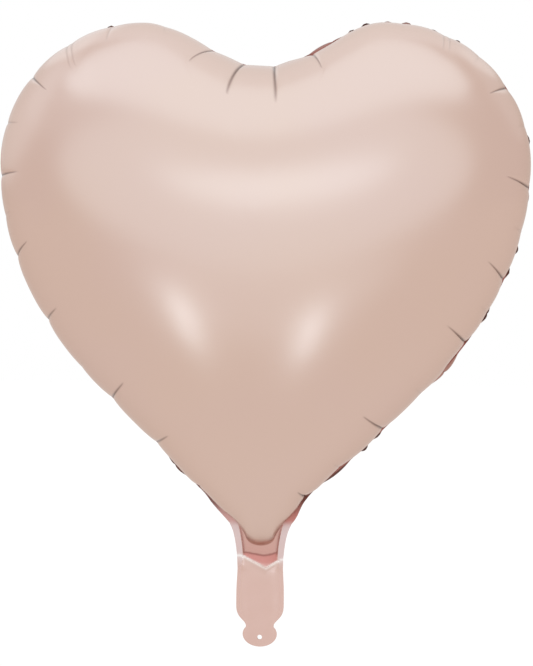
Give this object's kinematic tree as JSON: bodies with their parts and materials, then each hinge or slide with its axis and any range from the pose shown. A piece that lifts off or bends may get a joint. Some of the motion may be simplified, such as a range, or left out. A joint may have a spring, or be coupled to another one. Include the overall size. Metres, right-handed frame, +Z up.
{
  "type": "heart-shaped foil balloon",
  "caption": "Inflated heart-shaped metallic foil balloon with a welded rim, puckered edge, flat self-sealing neck valve and a fold-over filling tail ending in a ribbon tab.",
  "frame": {"origin": "middle of the neck's fold line, between the two foil panels, where the balloon is tied or held", "axes": "+Z up from the neck through the cleft between the lobes, +X to the right of someone looking at the front, +Y out through the rear panel; the front panel faces -Y"},
  "size_m": [0.3802, 0.1934, 0.447],
  "materials": {
    "foil": "satin metallised rose-gold film",
    "foil_weld": "heat-welded metallised film, finely crimped",
    "clear_film": "clear valve film"
  },
  "bodies": {
    "envelope": {"front_panel": "foil", "rear_panel": "foil", "rim_seal": "foil_weld", "valve_front_film": "clear_film", "valve_rear_film": "clear_film", "valve_weld_left": "clear_film", "valve_weld_right": "clear_film"},
    "tail": {"tail_front_ply": "foil", "tail_rear_ply": "foil", "tail_seal_left": "foil_weld", "tail_seal_right": "foil_weld", "hang_tab": "foil_weld", "inlet_front_film": "clear_film", "inlet_rear_film": "clear_film", "inlet_weld_left": "clear_film", "inlet_weld_right": "clear_film"}
  },
  "joints": [
    {"name": "tail_fold", "type": "hinge", "parent": "envelope", "child": "tail", "pos_m": [0, 0, 0], "axis": [1, 0, 0], "range_deg": [-120, 120]}
  ]
}
